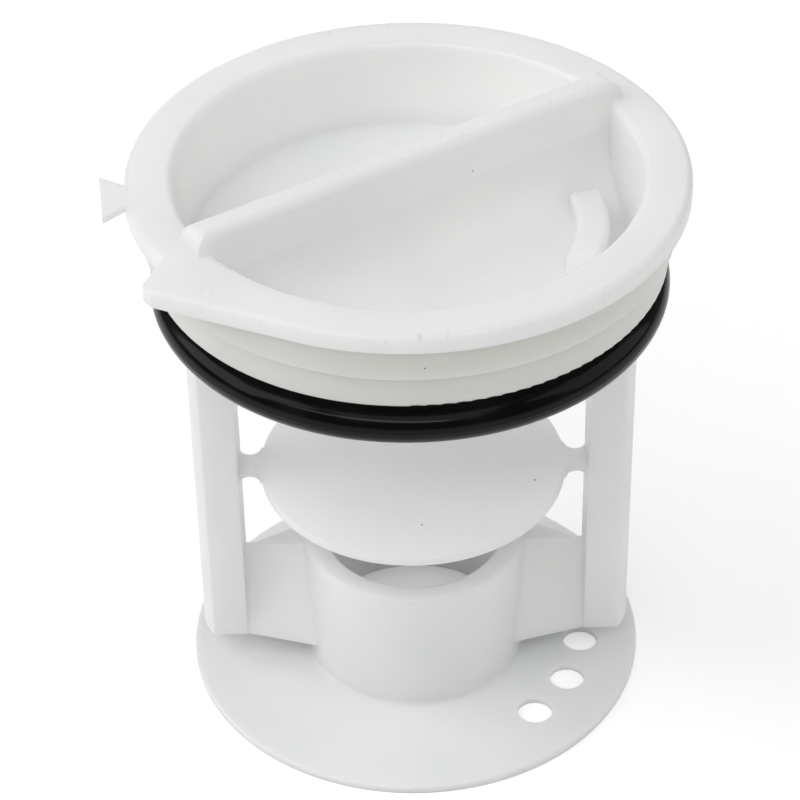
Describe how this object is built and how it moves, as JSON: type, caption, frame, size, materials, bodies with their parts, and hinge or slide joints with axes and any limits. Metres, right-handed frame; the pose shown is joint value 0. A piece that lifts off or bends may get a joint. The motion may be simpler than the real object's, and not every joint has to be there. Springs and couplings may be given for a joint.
{
  "type": "washer drain pump filter",
  "caption": "Screw-in lint and coin filter for a washing machine drain pump: finger-grip cap with a sealing ring, legs, a baffle disc and a bottom plate with a suction tube.",
  "frame": {"origin": "centre of the bottom plate's underside, on the filter's axis", "axes": "+Z along the axis from the bottom plate up to the cap, X through the two legs"},
  "size_m": [0.0689, 0.066, 0.076],
  "materials": {
    "white_polypropylene": "satin, slightly translucent",
    "black_rubber": "satin"
  },
  "bodies": {
    "root": {"filter_body": "white_polypropylene", "seal_ring": "black_rubber"}
  },
  "joints": []
}
